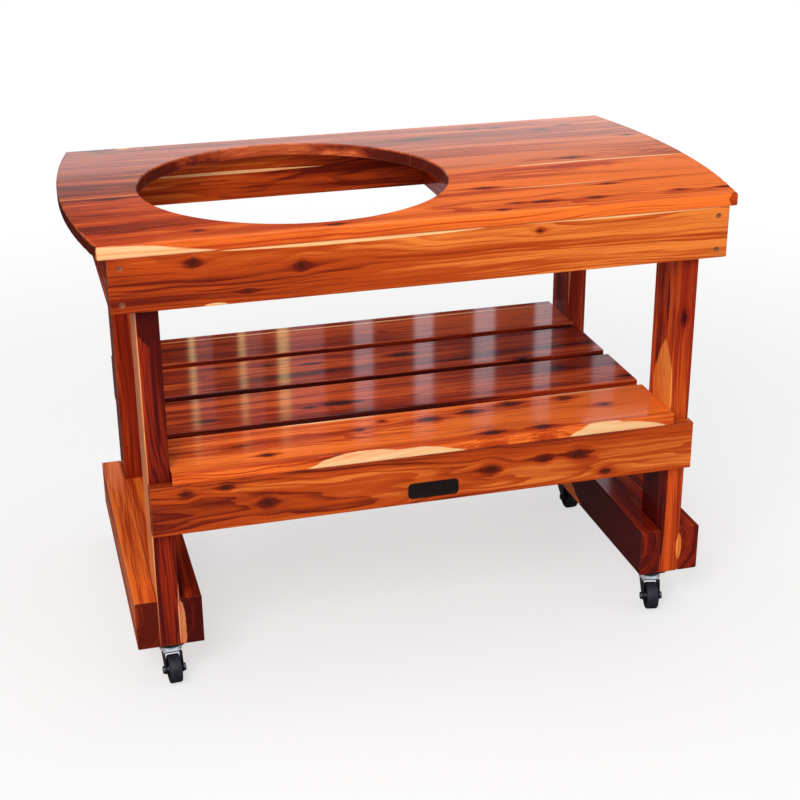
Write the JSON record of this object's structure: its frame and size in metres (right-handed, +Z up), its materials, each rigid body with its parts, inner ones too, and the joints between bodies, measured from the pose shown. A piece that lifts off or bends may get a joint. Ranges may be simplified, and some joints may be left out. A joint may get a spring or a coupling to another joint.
{
  "type": "kamado grill table",
  "caption": "Outdoor cedar table with bowed ends and a round cut-out for an egg-shaped charcoal grill, a slatted lower shelf and small swivel casters.",
  "frame": {"origin": "on the floor, under the middle of the table top's bounding box", "axes": "+X to the right along the table's length, +Y to the rear, +Z up"},
  "size_m": [1.134, 0.63, 0.798],
  "materials": {
    "top_cedar": "glossy clear stain",
    "slat_cedar": "glossy clear stain",
    "apron_cedar": "satin clear stain",
    "leg_cedar": "satin clear stain",
    "badge_black": "satin black paint, blank",
    "screw_steel": "dull zinc plate",
    "zinc": "bright zinc plate",
    "wheel_black": "moulded",
    "tyre_black": "smooth rubber"
  },
  "bodies": {
    "table": {"apron_front": "apron_cedar", "apron_rear": "apron_cedar", "apron_screws": "screw_steel", "badge_plate": "badge_black", "base_filler_left": "leg_cedar", "base_filler_right": "leg_cedar", "base_rail_inner_left": "leg_cedar", "base_rail_inner_right": "leg_cedar", "base_rail_outer_left": "leg_cedar", "base_rail_outer_right": "leg_cedar", "caster_plates": "zinc", "caster_screws": "screw_steel", "end_apron_left": "apron_cedar", "end_apron_right": "apron_cedar", "king_pins": "zinc", "leg_front_left": "leg_cedar", "leg_front_right": "leg_cedar", "leg_rear_left": "leg_cedar", "leg_rear_right": "leg_cedar", "shelf_apron_front": "apron_cedar", "shelf_apron_rear": "apron_cedar", "shelf_bearer_left": "apron_cedar", "shelf_bearer_middle": "apron_cedar", "shelf_bearer_right": "apron_cedar", "shelf_slat_1": "slat_cedar", "shelf_slat_2": "slat_cedar", "shelf_slat_3": "slat_cedar", "shelf_slat_4": "slat_cedar", "top_board_2_left": "top_cedar", "top_board_2_right": "top_cedar", "top_board_3_left": "top_cedar", "top_board_3_right": "top_cedar", "top_board_4_left": "top_cedar", "top_board_4_right": "top_cedar", "top_board_front": "top_cedar", "top_board_rear": "top_cedar", "top_joist": "apron_cedar"},
    "fork_front_left": {"caster_fork_front_left": "zinc", "caster_axle_front_left": "zinc"},
    "wheel_front_left": {"caster_wheel_front_left": "wheel_black", "caster_tyre_front_left": "tyre_black"},
    "fork_front_right": {"caster_fork_front_right": "zinc", "caster_axle_front_right": "zinc"},
    "wheel_front_right": {"caster_wheel_front_right": "wheel_black", "caster_tyre_front_right": "tyre_black"},
    "fork_rear_left": {"caster_fork_rear_left": "zinc", "caster_axle_rear_left": "zinc"},
    "wheel_rear_left": {"caster_wheel_rear_left": "wheel_black", "caster_tyre_rear_left": "tyre_black"},
    "fork_rear_right": {"caster_fork_rear_right": "zinc", "caster_axle_rear_right": "zinc"},
    "wheel_rear_right": {"caster_wheel_rear_right": "wheel_black", "caster_tyre_rear_right": "tyre_black"}
  },
  "joints": [
    {"name": "swivel_front_left", "type": "hinge", "parent": "table", "child": "fork_front_left", "pos_m": [-0.461, -0.265, 0.065], "axis": [0, 0, 1], "continuous": true},
    {"name": "spin_front_left", "type": "hinge", "parent": "fork_front_left", "child": "wheel_front_left", "pos_m": [-0.4598, -0.28797, 0.025], "axis": [0.9986, 0.0523, 0], "continuous": true},
    {"name": "swivel_front_right", "type": "hinge", "parent": "table", "child": "fork_front_right", "pos_m": [0.438, -0.265, 0.065], "axis": [0, 0, 1], "continuous": true},
    {"name": "spin_front_right", "type": "hinge", "parent": "fork_front_right", "child": "wheel_front_right", "pos_m": [0.43283, -0.28741, 0.025], "axis": [0.9744, -0.225, 0], "continuous": true},
    {"name": "swivel_rear_left", "type": "hinge", "parent": "table", "child": "fork_rear_left", "pos_m": [-0.461, 0.168, 0.065], "axis": [0, 0, 1], "continuous": true},
    {"name": "spin_rear_left", "type": "hinge", "parent": "fork_rear_left", "child": "wheel_rear_left", "pos_m": [-0.463, 0.14509, 0.025], "axis": [0.9962, -0.0872, 0], "continuous": true},
    {"name": "swivel_rear_right", "type": "hinge", "parent": "table", "child": "fork_rear_right", "pos_m": [0.438, 0.168, 0.065], "axis": [0, 0, 1], "continuous": true},
    {"name": "spin_rear_right", "type": "hinge", "parent": "fork_rear_right", "child": "wheel_rear_right", "pos_m": [0.4388, 0.14501, 0.025], "axis": [0.9994, 0.0349, 0], "continuous": true}
  ]
}
